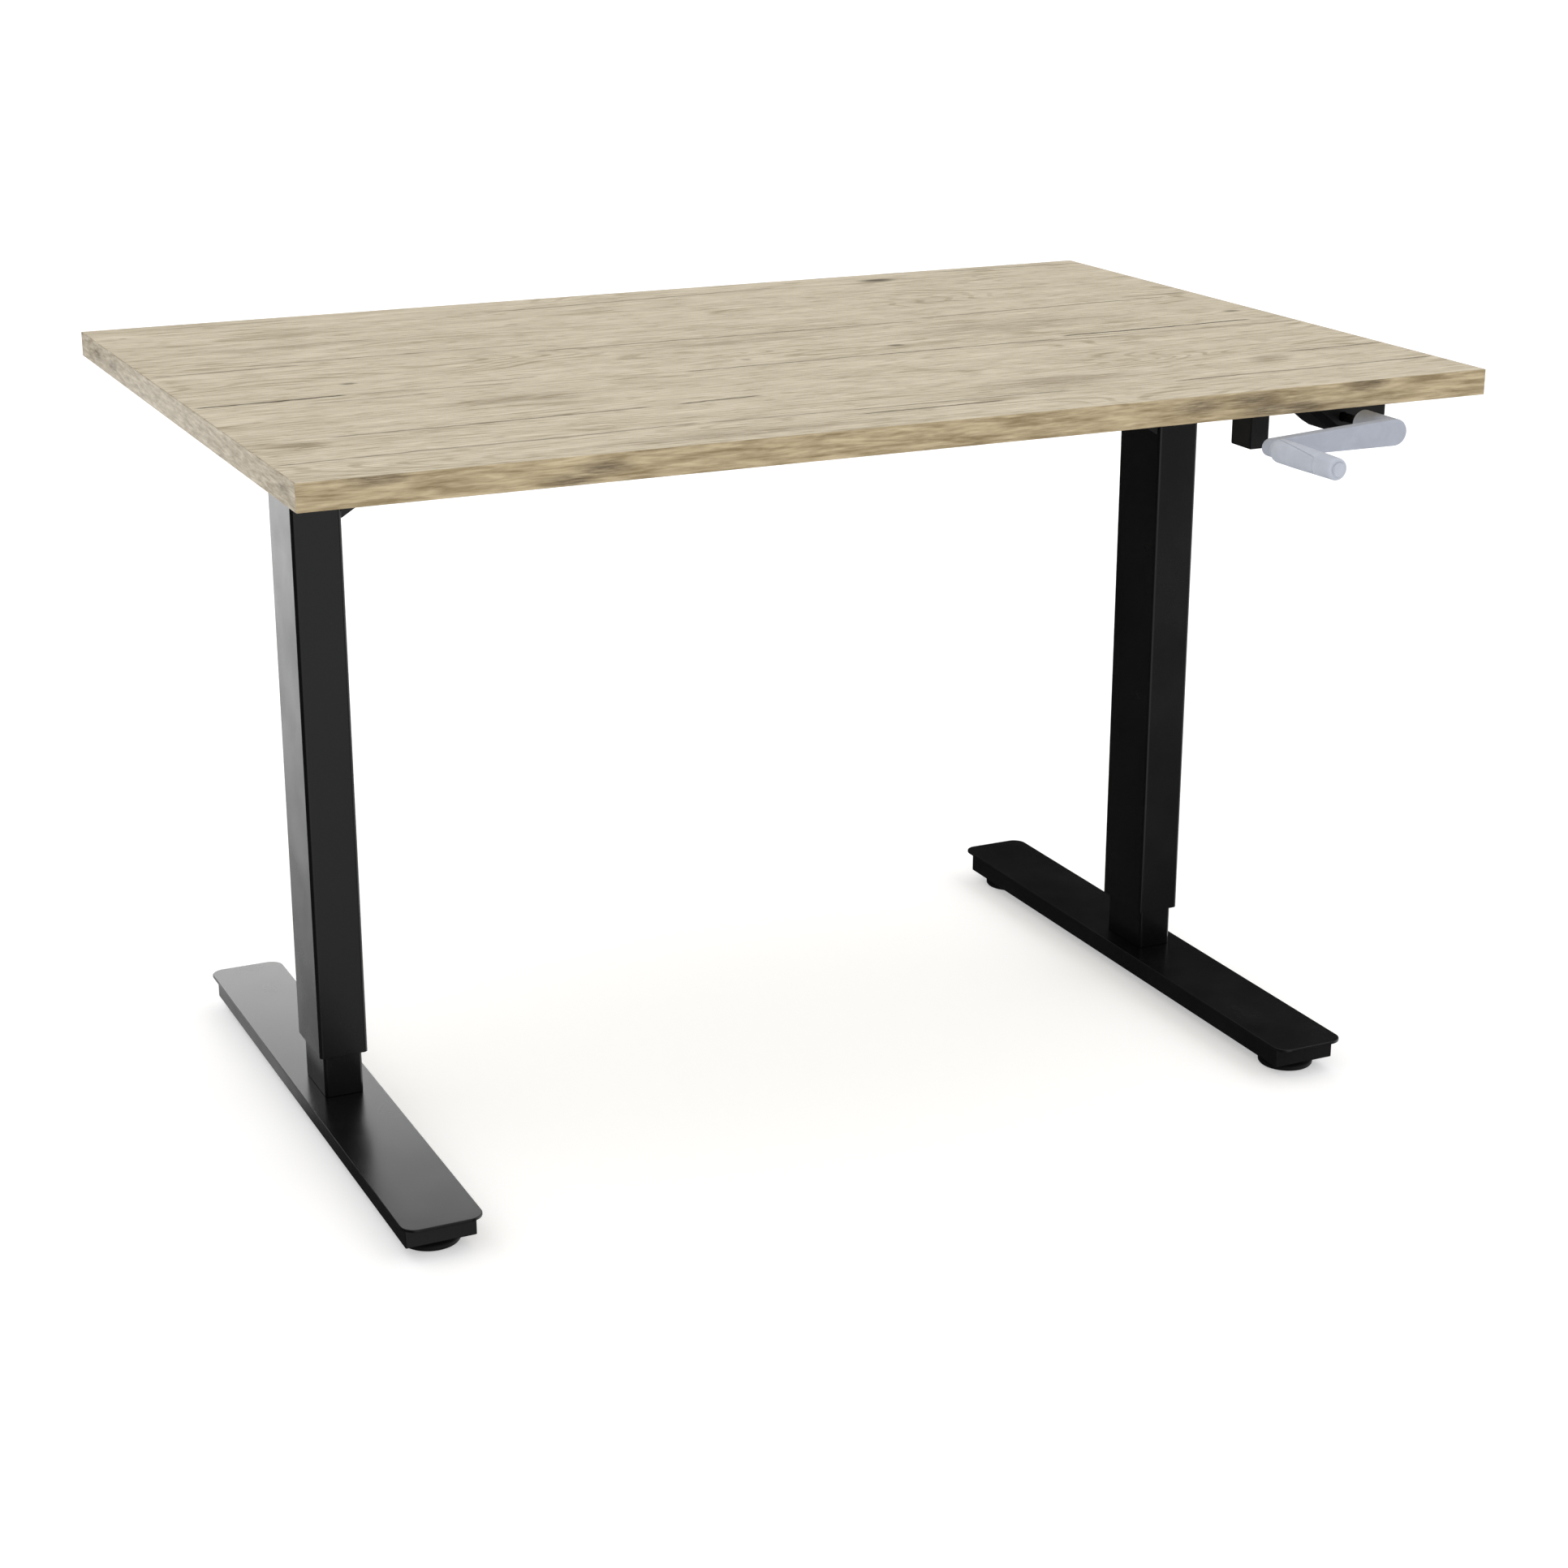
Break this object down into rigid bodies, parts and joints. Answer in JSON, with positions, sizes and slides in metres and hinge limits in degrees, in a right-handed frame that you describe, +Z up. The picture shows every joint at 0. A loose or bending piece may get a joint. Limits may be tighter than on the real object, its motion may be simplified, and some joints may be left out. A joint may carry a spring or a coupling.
{
  "type": "height adjustable standing desk",
  "caption": "Sit-stand desk: a laminate board on two telescopic T legs, raised by a side crank through bevel gears, a cross shaft and lead screws.",
  "frame": {"origin": "on the floor, under the middle of the desk's overall width and overall depth, crank included", "axes": "+X to the sitter's right along the desktop's long side, +Y away from the sitter to the back edge, +Z up"},
  "size_m": [1.2, 0.924, 0.756],
  "materials": {
    "laminate_board": "satin oak-look laminate",
    "black_powder_coat": "semi-gloss powder coat",
    "zinc_steel": "bright zinc plate",
    "brass": "turned",
    "cast_alloy": "as cast",
    "glide_plastic": "natural moulded",
    "black_plastic": "fine moulded texture",
    "grey_plastic": "satin moulded",
    "foot_rubber": "matt"
  },
  "bodies": {
    "left_leg": {"left_foot_plate": "black_powder_coat", "left_foot_beam": "black_powder_coat", "left_inner_tube": "black_powder_coat", "left_upper_glide": "glide_plastic", "left_lift_nut": "brass", "front_left_weld_nut": "zinc_steel", "back_left_weld_nut": "zinc_steel"},
    "right_leg": {"right_foot_plate": "black_powder_coat", "right_foot_beam": "black_powder_coat", "right_inner_tube": "black_powder_coat", "right_upper_glide": "glide_plastic", "right_lift_nut": "brass", "front_right_weld_nut": "zinc_steel", "back_right_weld_nut": "zinc_steel"},
    "lifting_frame": {"desktop": "laminate_board", "front_rail": "black_powder_coat", "back_rail": "black_powder_coat", "left_side_bracket": "black_powder_coat", "right_side_bracket": "black_powder_coat", "left_outer_tube": "black_powder_coat", "right_outer_tube": "black_powder_coat", "left_lower_glide": "glide_plastic", "right_lower_glide": "glide_plastic", "left_gear_housing": "cast_alloy", "right_gear_housing": "cast_alloy", "left_housing_lid": "cast_alloy", "right_housing_lid": "cast_alloy", "left_screw_bearing": "zinc_steel", "right_screw_bearing": "zinc_steel", "left_shaft_bush": "brass", "right_shaft_bush": "brass", "crank_housing": "black_plastic", "crank_rest": "black_plastic", "crank_bush": "brass"},
    "left_screw": {"left_lead_screw": "zinc_steel", "left_screw_gear": "zinc_steel"},
    "right_screw": {"right_lead_screw": "zinc_steel", "right_screw_gear": "zinc_steel", "right_crank_screw_gear": "zinc_steel"},
    "cross_drive": {"cross_shaft": "zinc_steel", "left_shaft_gear": "zinc_steel", "right_shaft_gear": "zinc_steel"},
    "crank_drive": {"crank_drive_tube": "zinc_steel", "crank_gear": "zinc_steel"},
    "crank": {"crank_arm": "grey_plastic", "crank_shaft": "zinc_steel", "grip_pin": "zinc_steel"},
    "grip": {"crank_grip": "grey_plastic"},
    "front_left_foot": {"front_left_pad": "foot_rubber", "front_left_stud": "zinc_steel"},
    "back_left_foot": {"back_left_pad": "foot_rubber", "back_left_stud": "zinc_steel"},
    "front_right_foot": {"front_right_pad": "foot_rubber", "front_right_stud": "zinc_steel"},
    "back_right_foot": {"back_right_pad": "foot_rubber", "back_right_stud": "zinc_steel"}
  },
  "joints": [
    {"name": "crank_turn", "type": "hinge", "parent": "lifting_frame", "child": "crank_drive", "pos_m": [0.4815, 0.062, 0.707], "axis": [0, 1, 0], "range_deg": [-1800, 19080]},
    {"name": "left_lift", "type": "slide", "parent": "left_leg", "child": "lifting_frame", "axis": [0, 0, 1], "range_m": [-0.04, 0.424]},
    {"name": "right_lift", "type": "slide", "parent": "lifting_frame", "child": "right_leg", "axis": [0, 0, -1], "range_m": [-0.04, 0.424]},
    {"name": "left_screw_turn", "type": "hinge", "parent": "lifting_frame", "child": "left_screw", "pos_m": [-0.4815, 0.062, 0.6], "axis": [0, 0, 1], "range_deg": [-1800, 19080]},
    {"name": "right_screw_turn", "type": "hinge", "parent": "lifting_frame", "child": "right_screw", "pos_m": [0.4815, 0.062, 0.6], "axis": [0, 0, -1], "range_deg": [-1800, 19080]},
    {"name": "cross_shaft_turn", "type": "hinge", "parent": "lifting_frame", "child": "cross_drive", "pos_m": [0, 0.062, 0.676], "axis": [1, 0, 0], "range_deg": [-1800, 19080]},
    {"name": "crank_push", "type": "slide", "parent": "crank_drive", "child": "crank", "axis": [0, 1, 0], "range_m": [0, 0.0334]},
    {"name": "grip_spin", "type": "hinge", "parent": "crank", "child": "grip", "pos_m": [0.3435, -0.359, 0.7035], "axis": [0, 1, 0], "continuous": true},
    {"name": "front_left_foot_level", "type": "slide", "parent": "left_leg", "child": "front_left_foot", "axis": [0, 0, -1], "range_m": [-0.002, 0.008]},
    {"name": "back_left_foot_level", "type": "slide", "parent": "left_leg", "child": "back_left_foot", "axis": [0, 0, -1], "range_m": [-0.002, 0.008]},
    {"name": "front_right_foot_level", "type": "slide", "parent": "right_leg", "child": "front_right_foot", "axis": [0, 0, -1], "range_m": [-0.002, 0.008]},
    {"name": "back_right_foot_level", "type": "slide", "parent": "right_leg", "child": "back_right_foot", "axis": [0, 0, -1], "range_m": [-0.002, 0.008]}
  ],
  "couplings": [
    {"joint": "right_lift", "follows": "left_lift", "ratio": 1},
    {"joint": "crank_turn", "follows": "left_lift", "rad_per_m": 785.4},
    {"joint": "left_screw_turn", "follows": "left_lift", "rad_per_m": 785.4},
    {"joint": "right_screw_turn", "follows": "left_lift", "rad_per_m": 785.4},
    {"joint": "cross_shaft_turn", "follows": "left_lift", "rad_per_m": 785.4}
  ]
}
